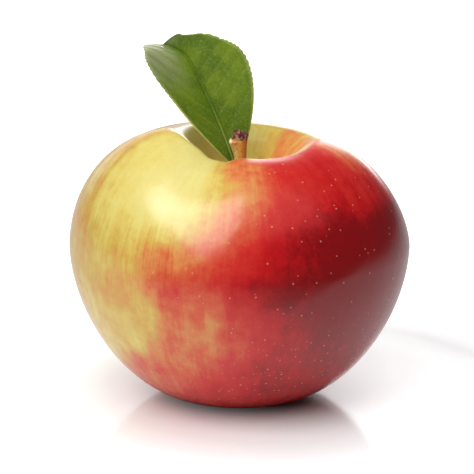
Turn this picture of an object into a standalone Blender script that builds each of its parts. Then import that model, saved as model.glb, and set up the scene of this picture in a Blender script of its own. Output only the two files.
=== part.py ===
"""An apple with one leaf, standing on its calyx end.

Metres, +Z up. The origin is on the surface that the apple stands on, at the middle of
the fruit. The stem points up and the leaf leans towards -X. -Y is the front.
"""
import math

import bmesh
import bpy
from mathutils import Matrix, Vector
from mathutils.geometry import interpolate_bezier

# ---------------------------------------------------------------------------
# Fruit
FRUIT_WIDTH = 0.0805            # across the widest part
WIDEST_HEIGHT = 0.0364          # height of the widest part over the foot
FLANK_FULLNESS = 1.73           # exponent of the arc from the foot to the widest part
CREST_HEIGHT = 0.0616           # mean height of the shoulder around the stem cavity
CREST_RADIUS = 0.0179           # mean distance of that crest from the axis
CREST_SHIFT = 0.0016            # how far the stem cavity lies towards +X
SHOULDER_FULLNESS = 1.77        # exponent of the arc from the widest part to the crest
FULLNESS_SWING = 0.17           # fuller on the -X side, leaner on the +X side
TILT_RISE = 0.0013              # rise of the crest on its high side
TILT_ANGLE = math.radians(168)  # where the high side is, from +X towards +Y
LEFT_LOBE_ANGLE = math.radians(203)     # two lobes of the shoulder, with a saddle between
LEFT_LOBE_SPREAD = math.radians(24)
LEFT_LOBE_RISE = 0.0031
LEFT_LOBE_REACH = 0.0014        # how much farther out the crest lies there
RIGHT_LOBE_ANGLE = math.radians(348)
RIGHT_LOBE_SPREAD = math.radians(18)
RIGHT_LOBE_RISE = 0.0024
FURROW_ANGLE = math.radians(251)        # the low part of the saddle
FURROW_SPREAD = math.radians(15)
FURROW_DEPTH = 0.0014
CAVITY_DEPTH = 0.0162           # from the mean crest down to the floor of the stem cavity
BASIN_DEPTH = 0.0065            # depth of the calyx basin underneath
FOOT_INNER_RADIUS = 0.0104      # the flat ring that the apple stands on
FOOT_OUTER_RADIUS = 0.0126
SEGMENTS = 72
RINGS = 48

# Shares of the rings, counted from the middle of the basin to the middle of the cavity
Q_FOOT_IN = 9 / RINGS
Q_FOOT_OUT = 11 / RINGS
Q_WIDEST = 25 / RINGS
Q_CREST = 37 / RINGS

# ---------------------------------------------------------------------------
# Fits
FIT_GAP = 0.0003                # between pieces that meet

# ---------------------------------------------------------------------------
# Stem
STEM_X = 0.0004
STEM_LENGTH = 0.0212            # from its foot in the socket to the broken end
STEM_FOOT_RADIUS = 0.00135
STEM_NECK_RADIUS = 0.00130
STEM_FLARE_RADIUS = 0.0021      # the widest part, below the broken end
STEM_HEAD_RADIUS = 0.0019
STEM_END_RADIUS = 0.00135
STEM_LEAN = 0.0009              # how far the flare leans towards -X
SOCKET_DEPTH = 0.0028           # depth of its seat below the floor of the cavity
STEM_SIDES_RESOLUTION = 5

# ---------------------------------------------------------------------------
# Leaf: the midrib runs from the petiole's foot over these points to the notched tip.
# Their heights count from the mean crest of the fruit.
PETIOLE_FOOT_X = 0.0000
PETIOLE_FOOT_Y = 0.0046
PETIOLE_RADIUS = 0.00070
PETIOLE_SEAT_DEPTH = 0.0014     # depth of its seat in the wall of the cavity
BLADE_BASE = Vector((-0.00123, 0.00360, -0.00705))
BLADE_BASE_HANDLE = Vector((-0.00390, 0.00460, 0.00175))
KNEE_LOWER_HANDLE = Vector((-0.00845, 0.00560, 0.01125))
KNEE = Vector((-0.01176, 0.00650, 0.01750))
KNEE_UPPER_HANDLE = Vector((-0.01295, 0.00700, 0.01970))
TIP_HANDLE = Vector((-0.01531, 0.00760, 0.02053))
TIP = Vector((-0.01804, 0.00820, 0.02122))
LEAF_FACING = Vector((0.0, -0.98, 0.20)).normalized()
BLADE_HALF_WIDTH = 0.0125       # from the midrib to each edge, measured on the blade
BLADE_THICKNESS = 0.00050
MIDRIB_RISE = 0.00045           # how far the midrib stands out underneath
MIDRIB_SPREAD = 0.00080
RIGHT_WIDEST = 0.54             # share of the blade's length where each half is widest
LEFT_WIDEST = 0.64
RIGHT_BLUNTNESS = 0.62          # smaller is blunter
LEFT_BLUNTNESS = 0.49
RIGHT_FOLD = math.radians(13)   # how far each half folds up towards the front
LEFT_FOLD = math.radians(38)
RIGHT_SWEEP = math.radians(14)  # how far each half sweeps towards the tip
LEFT_SWEEP = math.radians(31)
LEAF_FOLLOW = 0.15              # how far the blade turns with the bend at the tip
PETIOLE_SECTIONS = 6
LOWER_SECTIONS = 20
UPPER_SECTIONS = 9
HALF_BLADE_STEPS = 8

# ---------------------------------------------------------------------------
# Calyx
EYE_DEPTH = 0.0016              # blind hole in the middle of the basin, around the sepals' feet
SEPAL_COUNT = 5
SEPAL_LENGTH = 0.0046
SEPAL_HALF_WIDTH = 0.00105
SEPAL_THICKNESS = 0.00050
SEPAL_CUP = 0.00020             # how far its edges bend outwards
SEPAL_CURL = 3.5                # larger keeps it straight for longer
SEPAL_REACH = 0.0044            # from the axis to its tip
STAMEN_COUNT = 9
STAMEN_LENGTH = 0.0026
STAMEN_RADIUS = 0.00016
STAMEN_SPREAD = math.radians(14)
TUFT_RADIUS = 0.0009
TUFT_HEIGHT = 0.0008


def clear_scene():
    for old in list(bpy.data.objects):
        bpy.data.objects.remove(old, do_unlink=True)


def new_collection(name):
    collection = bpy.data.collections.new(name)
    bpy.context.scene.collection.children.link(collection)
    return collection


def new_material(name, colour, roughness):
    material = bpy.data.materials.new(name)
    material.use_nodes = True
    shader = material.node_tree.nodes["Principled BSDF"]
    shader.inputs["Base Color"].default_value = (*colour, 1.0)
    shader.inputs["Roughness"].default_value = roughness
    shader.inputs["Metallic"].default_value = 0.0
    return material


def add_object(name, data, collection, parent=None, material=None):
    item = bpy.data.objects.new(name, data)
    collection.objects.link(item)
    if parent is not None:
        item.parent = parent
    if material is not None:
        data.materials.append(material)
    return item


def add_cutter(name, mesh, collection, location):
    cutter = add_object(name, mesh, collection)
    cutter.location = location
    cutter.hide_render = True
    cutter.display_type = "WIRE"
    return cutter


def cut(target, cutter):
    modifier = target.modifiers.new(cutter.name, "BOOLEAN")
    modifier.operation = "DIFFERENCE"
    modifier.solver = "EXACT"
    modifier.object = cutter


def cylinder_mesh(name, radius, depth, segments=32):
    """A cylinder that stands on its local origin."""
    mesh = bpy.data.meshes.new(name)
    bm = bmesh.new()
    bmesh.ops.create_cone(bm, cap_ends=True, segments=segments, radius1=radius, radius2=radius,
                          depth=depth, matrix=Matrix.Translation((0, 0, depth / 2)))
    bm.to_mesh(mesh)
    bm.free()
    return mesh


def smooth(value):
    value = min(max(value, 0.0), 1.0)
    return value * value * (3 - 2 * value)


def mix(a, b, share):
    return a + (b - a) * share


# ---------------------------------------------------------------------------
# Fruit
def quarter(share, fullness):
    """A quarter of a superellipse, from (1, 0) to (0, 1)."""
    angle = share * math.pi / 2
    return math.cos(angle) ** (2 / fullness), math.sin(angle) ** (2 / fullness)


def basin_height(radius):
    share = min(radius / FOOT_INNER_RADIUS, 1.0)
    return BASIN_DEPTH * (1 - share ** 2) ** 2


def cavity_height(radius, crest_radius, crest_height):
    """Height of the cavity wall: level at the crest and at the floor."""
    share = 1 - min(radius / crest_radius, 1.0)
    floor = CREST_HEIGHT - CAVITY_DEPTH
    return mix(crest_height, floor, (1 - math.cos(math.pi * share)) / 2)


def swell(angle, centre, spread, power):
    """1 in one direction, falling smoothly to 0 away from it."""
    turn = math.remainder(angle - centre, 2 * math.pi)
    return math.exp(-(turn / spread) ** power)


def crest(angle):
    """Radius and height of the crest in one direction."""
    left = swell(angle, LEFT_LOBE_ANGLE, LEFT_LOBE_SPREAD, 2)
    right = swell(angle, RIGHT_LOBE_ANGLE, RIGHT_LOBE_SPREAD, 2)
    furrow = swell(angle, FURROW_ANGLE, FURROW_SPREAD, 4)
    radius = CREST_RADIUS + CREST_SHIFT * math.cos(angle) + LEFT_LOBE_REACH * left
    height = CREST_HEIGHT + TILT_RISE * math.cos(angle - TILT_ANGLE)
    height += LEFT_LOBE_RISE * left + RIGHT_LOBE_RISE * right - FURROW_DEPTH * furrow
    return radius, height


def fruit_profile(share, angle):
    """Radius and height of the skin, from the basin (0) to the cavity floor (1)."""
    crest_radius, crest_height = crest(angle)
    widest = FRUIT_WIDTH / 2
    if share <= Q_FOOT_IN:
        radius = FOOT_INNER_RADIUS * share / Q_FOOT_IN
        return radius, basin_height(radius)
    if share <= Q_FOOT_OUT:
        step = (share - Q_FOOT_IN) / (Q_FOOT_OUT - Q_FOOT_IN)
        return mix(FOOT_INNER_RADIUS, FOOT_OUTER_RADIUS, step), 0.0
    if share <= Q_WIDEST:
        step = (share - Q_FOOT_OUT) / (Q_WIDEST - Q_FOOT_OUT)
        down, out = quarter(1 - step, FLANK_FULLNESS)
        return mix(FOOT_OUTER_RADIUS, widest, down), WIDEST_HEIGHT * (1 - out)
    if share <= Q_CREST:
        step = (share - Q_WIDEST) / (Q_CREST - Q_WIDEST)
        out, up = quarter(step, SHOULDER_FULLNESS - FULLNESS_SWING * math.cos(angle))
        return mix(crest_radius, widest, out), mix(WIDEST_HEIGHT, crest_height, up)
    step = (share - Q_CREST) / (1 - Q_CREST)
    radius = crest_radius * (1 - step)
    return radius, cavity_height(radius, crest_radius, crest_height)


def build_fruit(collection, cutters, parent, material):
    mesh = bpy.data.meshes.new("fruit")
    bm = bmesh.new()
    bmesh.ops.create_uvsphere(bm, u_segments=SEGMENTS, v_segments=RINGS, radius=1.0)
    for vertex in bm.verts:
        angle = math.atan2(vertex.co.y, vertex.co.x)
        share = math.acos(min(max(-vertex.co.z, -1.0), 1.0)) / math.pi
        radius, height = fruit_profile(round(share * RINGS) / RINGS, angle)
        vertex.co = (radius * math.cos(angle), radius * math.sin(angle), height)
    bm.to_mesh(mesh)
    bm.free()
    fruit = add_object("fruit", mesh, collection, parent, material)

    floor = CREST_HEIGHT - CAVITY_DEPTH
    socket = cylinder_mesh("stem_socket", STEM_FOOT_RADIUS + FIT_GAP, 3 * SOCKET_DEPTH)
    cut(fruit, add_cutter("stem_socket", socket, cutters,
                          (STEM_X, 0, floor - SOCKET_DEPTH - FIT_GAP)))
    seat = cylinder_mesh("petiole_seat", PETIOLE_RADIUS + FIT_GAP, 4 * PETIOLE_SEAT_DEPTH)
    cut(fruit, add_cutter("petiole_seat", seat, cutters,
                          (PETIOLE_FOOT_X, PETIOLE_FOOT_Y, petiole_foot_height() - FIT_GAP)))
    eye = cylinder_mesh("eye", eye_radius(), BASIN_DEPTH + EYE_DEPTH)
    cut(fruit, add_cutter("eye", eye, cutters, (0, 0, 0)))
    mesh.shade_smooth()
    return fruit


# ---------------------------------------------------------------------------
# Stem
def build_stem(collection, parent, material):
    """A tapered tube through five stations, with filled ends."""
    foot = CREST_HEIGHT - CAVITY_DEPTH - SOCKET_DEPTH
    stations = (
        (0.00, 0.0, STEM_FOOT_RADIUS),
        (0.20, 0.0, STEM_FOOT_RADIUS),
        (0.62, 0.1, STEM_NECK_RADIUS),
        (0.86, 1.0, STEM_FLARE_RADIUS),
        (0.95, 0.6, STEM_HEAD_RADIUS),
        (1.00, 0.5, STEM_END_RADIUS),
    )
    curve = bpy.data.curves.new("stem", "CURVE")
    curve.dimensions = "3D"
    curve.resolution_u = 5
    curve.bevel_depth = 1.0
    curve.bevel_resolution = STEM_SIDES_RESOLUTION
    curve.use_fill_caps = True
    spline = curve.splines.new("BEZIER")
    spline.bezier_points.add(len(stations) - 1)
    for point, (share, lean, radius) in zip(spline.bezier_points, stations):
        point.co = (STEM_X - STEM_LEAN * lean, 0, foot + STEM_LENGTH * share)
        point.radius = radius
        point.handle_left_type = "AUTO"
        point.handle_right_type = "AUTO"
    return add_object("stem", curve, collection, parent, material)


# ---------------------------------------------------------------------------
# Leaf
def petiole_foot_height():
    """The petiole's foot stands this high, below the wall of the cavity there."""
    angle = math.atan2(PETIOLE_FOOT_Y, PETIOLE_FOOT_X)
    radius = math.hypot(PETIOLE_FOOT_X, PETIOLE_FOOT_Y)
    return cavity_height(radius, *crest(angle)) - PETIOLE_SEAT_DEPTH


def half_width(share, widest, bluntness):
    """Half of the blade's width at a share of its length."""
    power = math.log(0.5) / math.log(widest)
    return BLADE_HALF_WIDTH * math.sin(math.pi * share ** power) ** bluntness


def over_crest(point):
    return point + Vector((0, 0, CREST_HEIGHT))


def midrib_stations():
    """Point, direction and share of the blade's length, from the foot to the tip."""
    foot = Vector((PETIOLE_FOOT_X, PETIOLE_FOOT_Y, petiole_foot_height()))
    base = over_crest(BLADE_BASE)
    knee = over_crest(KNEE)
    rise = base.z - foot.z
    foot_handle = foot + Vector((0, 0, rise / 2))
    base_handle = base - (BLADE_BASE_HANDLE - BLADE_BASE).normalized() * rise / 3
    points = interpolate_bezier(foot, foot_handle, base_handle, base, PETIOLE_SECTIONS + 1)
    shares = [0.0] * PETIOLE_SECTIONS
    lower = interpolate_bezier(base, over_crest(BLADE_BASE_HANDLE),
                               over_crest(KNEE_LOWER_HANDLE), knee, LOWER_SECTIONS + 1)
    upper = interpolate_bezier(knee, over_crest(KNEE_UPPER_HANDLE), over_crest(TIP_HANDLE),
                               over_crest(TIP), UPPER_SECTIONS + 1)
    points = points[:-1] + lower[:-1] + upper
    knee_share = 0.8
    shares += [knee_share * i / LOWER_SECTIONS for i in range(LOWER_SECTIONS)]
    shares += [mix(knee_share, 1.0, i / UPPER_SECTIONS) for i in range(UPPER_SECTIONS + 1)]
    stations = []
    for i, point in enumerate(points):
        ahead = points[min(i + 1, len(points) - 1)]
        behind = points[max(i - 1, 0)]
        stations.append((point, (ahead - behind).normalized(), shares[i]))
    return stations


def leaf_section(point, direction, share, blade):
    """One closed loop around the leaf: over the upper face, back along the lower one.

    blade runs from 0 on the round petiole to 1 on the flat blade.
    """
    axis = (KNEE - BLADE_BASE).normalized()
    along = mix(mix(direction, axis, 1 - LEAF_FOLLOW), direction, 1 - blade).normalized()
    up = (LEAF_FACING - along * LEAF_FACING.dot(along)).normalized()
    right = along.cross(up).normalized()
    upper = []
    lower = []
    for i in range(-HALF_BLADE_STEPS, HALF_BLADE_STEPS + 1):
        step = abs(i) / HALF_BLADE_STEPS
        side = 1 if i >= 0 else -1
        widest, bluntness, fold, sweep = (
            (RIGHT_WIDEST, RIGHT_BLUNTNESS, RIGHT_FOLD, RIGHT_SWEEP) if side > 0
            else (LEFT_WIDEST, LEFT_BLUNTNESS, LEFT_FOLD, LEFT_SWEEP))
        width = half_width(share, widest, bluntness) if 0 < share < 1 else 0.0
        width = max(width, PETIOLE_RADIUS * (1 - 0.6 * share))
        across = mix(math.sin(step * math.pi / 2), (1 - math.cos(step * math.pi)) / 2, blade)
        far = width * across
        turn = fold * blade
        middle = (point + right * side * far * math.cos(turn) + up * far * math.sin(turn)
                  + along * far * math.tan(sweep) * blade)
        normal = up * math.cos(turn) - right * side * math.sin(turn)
        if i == 0:
            normal = up
        round_half = PETIOLE_RADIUS * math.sqrt(max(1 - across ** 2, 0.0))
        edge = math.sqrt(max(1 - across ** 10, 0.0))
        rib = MIDRIB_RISE * (1 - 0.7 * share) * math.exp(-(far / MIDRIB_SPREAD) ** 2)
        above = mix(round_half, BLADE_THICKNESS / 2 * edge, blade)
        below = mix(round_half, BLADE_THICKNESS / 2 * edge + rib, blade)
        if abs(i) == HALF_BLADE_STEPS:
            upper.append(middle)
        else:
            upper.append(middle + normal * above)
            lower.append(middle - normal * below)
    return upper + lower[::-1]


def loft(name, sections):
    """A closed skin through loops of equally many points, with flat ends."""
    mesh = bpy.data.meshes.new(name)
    bm = bmesh.new()
    rings = [[bm.verts.new(point) for point in section] for section in sections]
    for first, second in zip(rings, rings[1:]):
        for i in range(len(first)):
            j = (i + 1) % len(first)
            bm.faces.new((first[i], first[j], second[j], second[i]))
    bm.faces.new(rings[0][::-1])
    bm.faces.new(rings[-1])
    bmesh.ops.recalc_face_normals(bm, faces=bm.faces)
    bm.to_mesh(mesh)
    bm.free()
    mesh.shade_smooth()
    return mesh


def build_leaf(collection, parent, material):
    stations = midrib_stations()
    sections = []
    for i, (point, direction, share) in enumerate(stations):
        blade = smooth((i - PETIOLE_SECTIONS / 2) / (PETIOLE_SECTIONS / 2))
        sections.append(leaf_section(point, direction, share, blade))
    return add_object("leaf", loft("leaf", sections), collection, parent, material)


# ---------------------------------------------------------------------------
# Calyx
def eye_roof():
    return BASIN_DEPTH + EYE_DEPTH - FIT_GAP


def sepal_ring_radius():
    """Where the sepals stand: as close to the axis as their edges clear each other."""
    half_turn = math.pi / SEPAL_COUNT
    return SEPAL_HALF_WIDTH / math.tan(half_turn) + FIT_GAP / math.sin(half_turn)


def sepal_place(share):
    """Distance from the axis and height, at a share of the sepal's length."""
    out = mix(sepal_ring_radius(), SEPAL_REACH, share ** SEPAL_CURL)
    return out, eye_roof() - SEPAL_LENGTH * (share - 0.12 * share ** 3)


def eye_radius():
    """Clears the outer faces of the sepals from their feet to the mouth of the eye."""
    outer = sepal_ring_radius() + SEPAL_THICKNESS / 2 + SEPAL_CUP
    mouth = (eye_roof() - basin_height(outer)) / SEPAL_LENGTH
    outer += sepal_place(mouth)[0] - sepal_ring_radius()
    return math.hypot(outer, SEPAL_HALF_WIDTH) + FIT_GAP


def sepal_mesh():
    """One dried lobe in its own plane: down out of the eye, then curling outwards."""
    sections = []
    steps = 10
    sides = 10
    for i in range(steps + 1):
        share = i / steps
        out, down = sepal_place(share)
        spread = SEPAL_REACH - sepal_ring_radius()
        outwards = spread * SEPAL_CURL * share ** (SEPAL_CURL - 1)
        slope = Vector((outwards, 0, -SEPAL_LENGTH * (1 - 0.36 * share ** 2)))
        slope.normalize()
        normal = Vector((slope.z, 0, -slope.x))
        width = SEPAL_HALF_WIDTH * (0.55 + 1.1 * share - 1.45 * share ** 3) + 0.0001
        thick = SEPAL_THICKNESS / 2 * (1 - 0.55 * share)
        loop = []
        for j in range(sides):
            angle = 2 * math.pi * j / sides
            sideways = width * math.cos(angle)
            cup = SEPAL_CUP * math.cos(angle) ** 2
            loop.append(Vector((out, 0, down)) + Vector((0, sideways, 0))
                        + normal * (thick * math.sin(angle) + cup))
        sections.append(loop)
    return loft("sepal", sections)


def build_sepals(collection, parent, material):
    mesh = sepal_mesh()
    for i in range(SEPAL_COUNT):
        sepal = add_object(f"sepal_{i + 1}", mesh, collection, parent)
        sepal.rotation_euler.z = 2 * math.pi * (i + 0.3) / SEPAL_COUNT
    mesh.materials.append(material)


def build_stamens(collection, cutters, parent, material):
    """A round seat with a ring of thin tapered threads joined to it."""
    threads = bpy.data.meshes.new("stamen_threads")
    bm = bmesh.new()
    for i in range(STAMEN_COUNT):
        turn = Matrix.Rotation(2 * math.pi * i / STAMEN_COUNT, 4, "Z")
        tilt = Matrix.Rotation(STAMEN_SPREAD, 4, "Y")
        place = Matrix.Translation((TUFT_RADIUS * 0.62, 0, TUFT_HEIGHT * 0.5))
        grow = Matrix.Translation((0, 0, STAMEN_LENGTH / 2))
        bmesh.ops.create_cone(bm, cap_ends=True, segments=6, radius1=STAMEN_RADIUS,
                              radius2=STAMEN_RADIUS * 0.7, depth=STAMEN_LENGTH,
                              matrix=turn @ place @ tilt @ grow)
    bm.to_mesh(threads)
    bm.free()
    tool = add_cutter("stamen_threads", threads, cutters, (0, 0, eye_roof()))
    tool.rotation_euler.x = math.pi
    stamens = add_object("stamens", cylinder_mesh("stamens", TUFT_RADIUS, TUFT_HEIGHT, 18),
                         collection, parent, material)
    stamens.location = (0, 0, eye_roof())
    stamens.rotation_euler.x = math.pi
    join = stamens.modifiers.new("threads", "BOOLEAN")
    join.operation = "UNION"
    join.solver = "EXACT"
    join.object = tool


def build_apple():
    clear_scene()
    parts = new_collection("apple")
    cutters = new_collection("cutters")
    skin = new_material("skin", (0.62, 0.10, 0.05), 0.25)
    bark = new_material("stem_bark", (0.36, 0.17, 0.05), 0.70)
    green = new_material("leaf_green", (0.12, 0.24, 0.03), 0.35)
    dried = new_material("dried_calyx", (0.16, 0.10, 0.05), 0.85)
    root = bpy.data.objects.new("apple_root", None)
    parts.objects.link(root)
    build_fruit(parts, cutters, root, skin)
    build_stem(parts, root, bark)
    build_leaf(parts, root, green)
    build_sepals(parts, root, dried)
    build_stamens(parts, cutters, root, dried)


build_apple()
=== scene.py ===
"""A two-coloured apple with one leaf, on a glossy white studio floor."""
import math

import bmesh
import bpy
import numpy as np
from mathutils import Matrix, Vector


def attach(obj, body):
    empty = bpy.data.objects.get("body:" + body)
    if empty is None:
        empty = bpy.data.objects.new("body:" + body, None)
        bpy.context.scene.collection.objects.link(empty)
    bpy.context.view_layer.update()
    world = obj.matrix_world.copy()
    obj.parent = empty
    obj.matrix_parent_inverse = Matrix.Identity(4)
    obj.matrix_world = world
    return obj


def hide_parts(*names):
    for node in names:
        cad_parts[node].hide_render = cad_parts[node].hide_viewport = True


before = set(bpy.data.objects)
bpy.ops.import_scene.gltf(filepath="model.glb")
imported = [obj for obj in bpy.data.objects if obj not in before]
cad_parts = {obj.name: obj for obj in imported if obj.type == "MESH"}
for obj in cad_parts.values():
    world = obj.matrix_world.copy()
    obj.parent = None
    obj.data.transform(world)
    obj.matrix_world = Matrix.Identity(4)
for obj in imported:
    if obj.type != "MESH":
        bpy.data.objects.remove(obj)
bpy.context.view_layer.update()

# ---------------------------------------------------------------------------
# Fruit. One solid of crisp flesh under a thin waxed skin, which is yellow where leaves
# shaded it and red where the sun reached it. It grew in one piece and stands on the
# narrow flat ring around its calyx basin.
FRUIT_WIDTH = 0.0805
WIDEST_HEIGHT = 0.0364
FLANK_FULLNESS = 1.73
CREST_HEIGHT = 0.0616
CREST_RADIUS = 0.0179
CREST_SHIFT = 0.0016
SHOULDER_FULLNESS = 1.77
FULLNESS_SWING = 0.17
TILT_RISE = 0.0013
TILT_ANGLE = math.radians(168)
LEFT_LOBE_ANGLE = math.radians(203)
LEFT_LOBE_SPREAD = math.radians(24)
LEFT_LOBE_RISE = 0.0031
LEFT_LOBE_REACH = 0.0014
RIGHT_LOBE_ANGLE = math.radians(348)
RIGHT_LOBE_SPREAD = math.radians(18)
RIGHT_LOBE_FRONT_SPREAD = math.radians(31)
RIGHT_LOBE_RISE = 0.0024
FURROW_ANGLE = math.radians(251)
FURROW_SPREAD = math.radians(15)
FURROW_DEPTH = 0.0014
CAVITY_FLOOR = 0.0454
BASIN_DEPTH = 0.0065
FOOT_INNER_RADIUS = 0.0104
FOOT_OUTER_RADIUS = 0.0126
# Rows of the skin: across the basin, the foot, the flank, the shoulder and the cavity
FRUIT_ROWS = (34, 8, 84, 60, 58)
FRUIT_COLUMNS = 360
# Where the blush starts, where it deepens and where it ends on the far side: heights in
# millimetres, and the direction of the edge at each, in degrees
BLUSH_EDGE = ((0, 7, 10, 14, 18, 22, 27, 31, 35, 39, 42, 46, 50, 56, 62),
              (185, 192, 202, 216, 231, 239, 243, 242, 238, 235, 239, 251, 257, 260, 260))
DEEP_EDGE = ((0, 10, 20, 32, 40, 45, 50, 56, 62),
             (225, 250, 273, 269, 264, 267, 278, 284, 290))
FAR_EDGE = ((0, 12, 22, 32, 40, 46, 51, 56, 62),
            (505, 478, 448, 430, 412, 396, 374, 350, 336))
# Half the width of each edge in degrees; the first one's changes with the height
BLUSH_EDGE_WIDTH = ((0, 12, 22, 36, 46, 62), (18, 14, 6, 8, 11, 13))
DEEP_EDGE_WIDTH = 13
FAR_EDGE_WIDTH = 22
# How ripe the blush and the deep red are at each height, and the cavity by the turn from
# its ripest side in degrees
BLUSH_RIPENESS = ((0, 14, 26, 33, 38, 42, 50, 62),
                  (0.32, 0.30, 0.27, 0.30, 0.31, 0.24, 0.33, 0.35))
DEEP_RIPENESS = ((0, 14, 34, 42, 48, 54), (0.53, 0.60, 0.57, 0.55, 0.57, 0.53))
GROUND_RIPENESS = 0.33
FOOT_RIPENESS = 0.36
CAVITY_RIPENESS = ((0, 26, 48, 75, 180), (0.44, 0.40, 0.22, 0.10, 0.16))
CAVITY_RIPEST_ANGLE = math.radians(20)
# Colours of the skin by ripeness, as screen values
SKIN_COLOURS = ((0.00, (226, 216, 138)), (0.16, (222, 202, 110)), (0.32, (210, 170, 82)),
                (0.46, (214, 136, 76)), (0.60, (210, 92, 56)), (0.76, (202, 46, 38)),
                (0.90, (188, 20, 24)), (1.00, (134, 10, 16)))
GREEN_SKIN = (176, 172, 52)
DOT_COLOUR = (232, 176, 150)
DOTS_PER_METRE = 430.0
LOW_DOTS_PER_METRE = 640.0
WAX_ROUGHNESS = 0.24


def mix(low, high, share):
    return low + (high - low) * share


def smooth(low, high, value):
    """0 up to low, 1 from high on, and a smooth rise between them."""
    share = np.clip((value - low) / (high - low), 0, 1)
    return share * share * (3 - 2 * share)


def turn_from(angle, centre):
    """The signed turn from one direction to another, between minus and plus half a turn."""
    return (angle - centre + np.pi) % (2 * np.pi) - np.pi


def quarter(share, fullness):
    """A quarter of a superellipse from (1, 0) to (0, 1): powers of cosine and sine."""
    angle = share * np.pi / 2
    return np.cos(angle) ** (2 / fullness), np.sin(angle) ** (2 / fullness)


def swell(angle, centre, spread, power=2):
    """1 in one direction and 0 away from it: the exponential of minus a power of the turn."""
    return np.exp(-np.abs(turn_from(angle, centre) / spread) ** power)


def fruit_skin():
    """Radius and height for each direction: a raised-cosine basin, a flat foot, two
    superellipse quarters that meet at the widest part, and a raised-cosine cavity. The
    crest leans to one side and rises in two lobes with a furrow between them."""
    angle = np.linspace(0, 2 * np.pi, FRUIT_COLUMNS, endpoint=False)[None, :]
    left_lobe = swell(angle, LEFT_LOBE_ANGLE, LEFT_LOBE_SPREAD)
    right_lobe = swell(angle, RIGHT_LOBE_ANGLE, np.where(
        turn_from(angle, RIGHT_LOBE_ANGLE) < 0, RIGHT_LOBE_FRONT_SPREAD, RIGHT_LOBE_SPREAD))
    furrow = swell(angle, FURROW_ANGLE, FURROW_SPREAD, 4)
    crest_radius = CREST_RADIUS + CREST_SHIFT * np.cos(angle) + LEFT_LOBE_REACH * left_lobe
    crest_height = (CREST_HEIGHT + TILT_RISE * np.cos(angle - TILT_ANGLE)
                    + LEFT_LOBE_RISE * left_lobe + RIGHT_LOBE_RISE * right_lobe
                    - FURROW_DEPTH * furrow)
    widest = FRUIT_WIDTH / 2
    basin, foot, flank, shoulder, cavity = (
        np.linspace(0, 1, rows, endpoint=False)[:, None] for rows in FRUIT_ROWS)
    same = np.ones_like(angle)
    basin = basin + 0.5 / FRUIT_ROWS[0]
    down, out = quarter(1 - flank, FLANK_FULLNESS)
    near, up = quarter(shoulder, SHOULDER_FULLNESS - FULLNESS_SWING * np.cos(angle))
    radius = np.concatenate((
        FOOT_INNER_RADIUS * basin * same,
        mix(FOOT_INNER_RADIUS, FOOT_OUTER_RADIUS, foot) * same,
        mix(FOOT_OUTER_RADIUS, widest, down) * same,
        mix(crest_radius, widest, near),
        crest_radius * (1 - cavity)))
    height = np.concatenate((
        BASIN_DEPTH * (1 - basin ** 2) ** 2 * same,
        0 * foot * same,
        WIDEST_HEIGHT * (1 - out) * same,
        mix(WIDEST_HEIGHT, crest_height, up),
        mix(crest_height, CAVITY_FLOOR, (1 - np.cos(np.pi * cavity)) / 2)))
    angle = angle + 0 * radius
    return radius, angle, height


def ring_mesh(name, rings):
    """Four-sided faces between closed rings of points, with a fan over each end ring."""
    rows, columns = rings.shape[:2]
    points = np.concatenate((rings.reshape(-1, 3), rings[:1].mean(1), rings[-1:].mean(1)))
    row = np.arange(rows - 1)[:, None] * columns
    here = np.arange(columns)[None, :]
    there = (here + 1) % columns
    quads = np.stack((row + here, row + there, row + columns + there, row + columns + here), -1)
    first = rows * columns
    last = (rows - 1) * columns
    here, there = here[0], there[0]
    start = np.stack((0 * here + first, there, here), -1)
    end = np.stack((0 * here + first + 1, last + here, last + there), -1)
    mesh = bpy.data.meshes.new(name)
    mesh.from_pydata(points.tolist(), [], quads.reshape(-1, 4).tolist() + start.tolist()
                     + end.tolist())
    mesh.shade_smooth()
    return mesh


def note(mesh, name, values):
    """Keeps one number for each point of a ring mesh, with the end fans' means last."""
    values = np.concatenate((values.ravel(), values[:1].mean(1), values[-1:].mean(1)))
    layer = mesh.attributes.new(name, "FLOAT", "POINT")
    layer.data.foreach_set("value", values.astype(np.float32))


def note_vector(mesh, name, values):
    """Keeps three numbers for each point of a ring mesh, in the same order."""
    values = np.concatenate((values.reshape(-1, 3), values[:1].mean(1), values[-1:].mean(1)))
    layer = mesh.attributes.new(name, "FLOAT_VECTOR", "POINT")
    layer.data.foreach_set("vector", values.astype(np.float32).ravel())


def add_piece(name, mesh, material, slot, *nodes):
    """Shows a mesh in place of CAD nodes, riding with them."""
    piece = bpy.data.objects.new(name, mesh)
    bpy.context.scene.collection.objects.link(piece)
    mesh.materials.append(material)
    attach(piece, "root")
    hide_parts(*nodes)


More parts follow.
